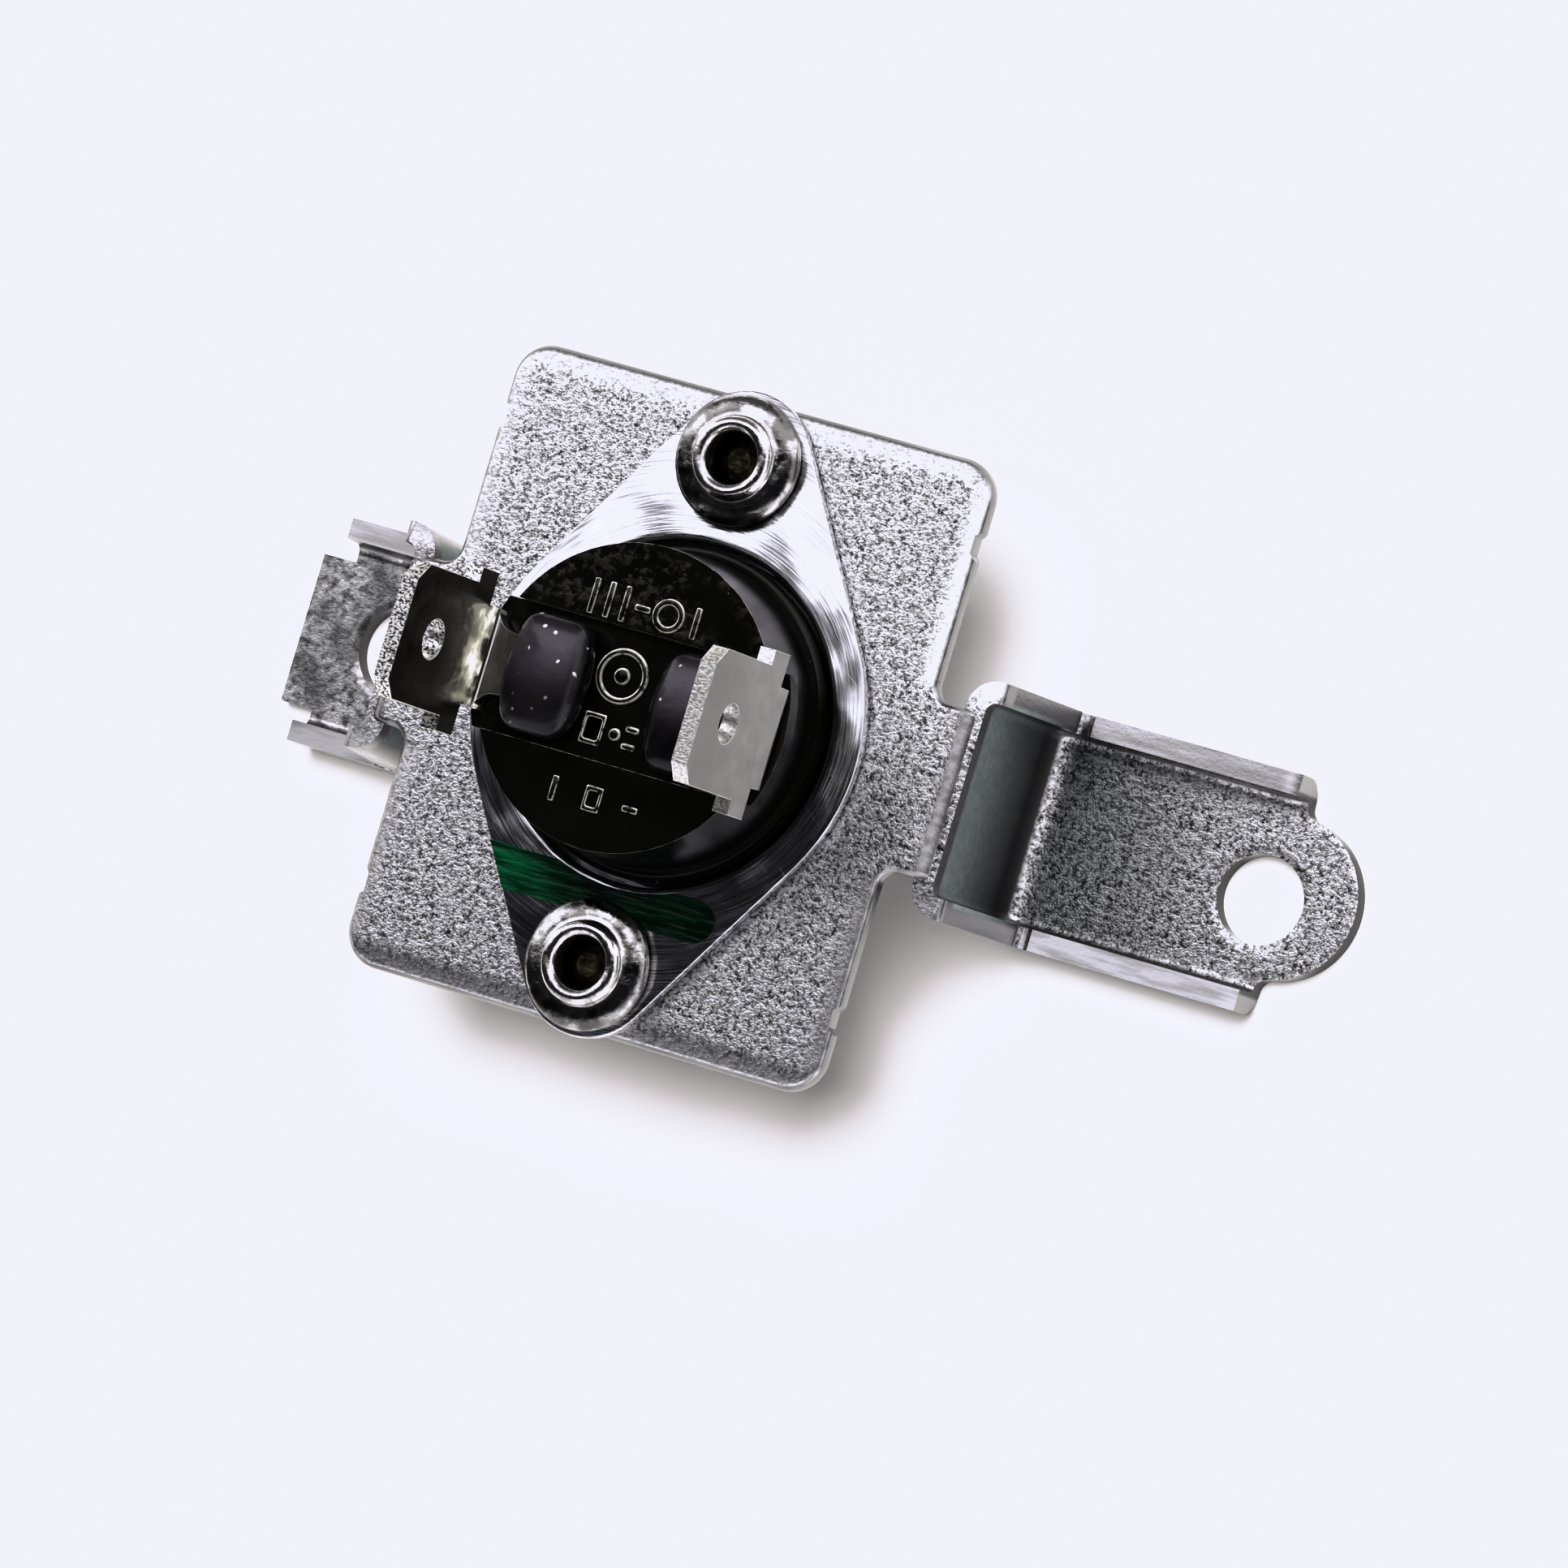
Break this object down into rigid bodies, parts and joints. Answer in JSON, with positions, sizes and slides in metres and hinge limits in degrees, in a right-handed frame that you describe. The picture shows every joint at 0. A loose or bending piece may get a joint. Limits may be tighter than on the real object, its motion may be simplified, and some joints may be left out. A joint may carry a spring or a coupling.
{
  "type": "bimetal thermostat",
  "caption": "Snap-disc bimetal thermostat with two push-on blades, riveted by its oval flange to a folded sheet-metal bracket with a screw hole in each foot.",
  "frame": {"origin": "centre of the round sensing face, the flat bottom of the metal cup", "axes": "+Z along the body, from the sensing face towards the blades; +X along the bracket towards its long foot; Y through the two rivets"},
  "size_m": [0.0546, 0.0306, 0.0255],
  "materials": {
    "zinc_sheet": "zinc-coated sheet steel with a fine crystalline grain",
    "spun_aluminium": "bright drawn aluminium with light scratches",
    "bright_rivet": "bright plated rivet",
    "mandrel_steel": "dull broken steel",
    "black_phenolic": "glossy black moulding",
    "tinned_blade": "satin tin plate",
    "brass": "plain pressed brass",
    "grey_resin": "grey potting resin with fine bright specks",
    "contact_silver": "silver contact rivet",
    "spring_bronze": "rolled spring bronze",
    "white_ceramic": "unglazed ceramic",
    "moulded_guide": "dark moulding",
    "bimetal_sheet": "rolled bimetal sheet"
  },
  "bodies": {
    "root": {"bracket": "zinc_sheet", "flanged_cap": "spun_aluminium", "rivet_upper": "bright_rivet", "rivet_lower": "bright_rivet", "mandrel_upper": "mandrel_steel", "mandrel_lower": "mandrel_steel", "housing": "black_phenolic", "terminal_left": "tinned_blade", "terminal_right": "tinned_blade", "terminal_rivet_left": "brass", "terminal_rivet_right": "brass", "resin_seal_left": "grey_resin", "resin_seal_right": "grey_resin", "fixed_contact_plate": "brass", "fixed_contact": "contact_silver", "arm_carrier": "brass", "guide_plate": "moulded_guide", "bimetal_disc": "bimetal_sheet"},
    "striker": {"striker_pin": "white_ceramic"},
    "arm": {"contact_arm": "spring_bronze", "moving_contact": "contact_silver"}
  },
  "joints": [
    {"name": "striker_slide", "type": "slide", "parent": "root", "child": "striker", "axis": [0, 0, 1], "range_m": [0, 0.0003], "deforming": ["bimetal_disc"]},
    {"name": "arm_hinge", "type": "hinge", "parent": "root", "child": "arm", "pos_m": [0.0042, 0, 0.0053], "axis": [0, 1, 0], "range_deg": [0, 4.2], "stiffness_Nm_per_rad": 0.05, "springref_deg": -2.86}
  ],
  "couplings": [
    {"joint": "arm_hinge", "follows": "striker_slide", "rad_per_m": 238.1}
  ]
}
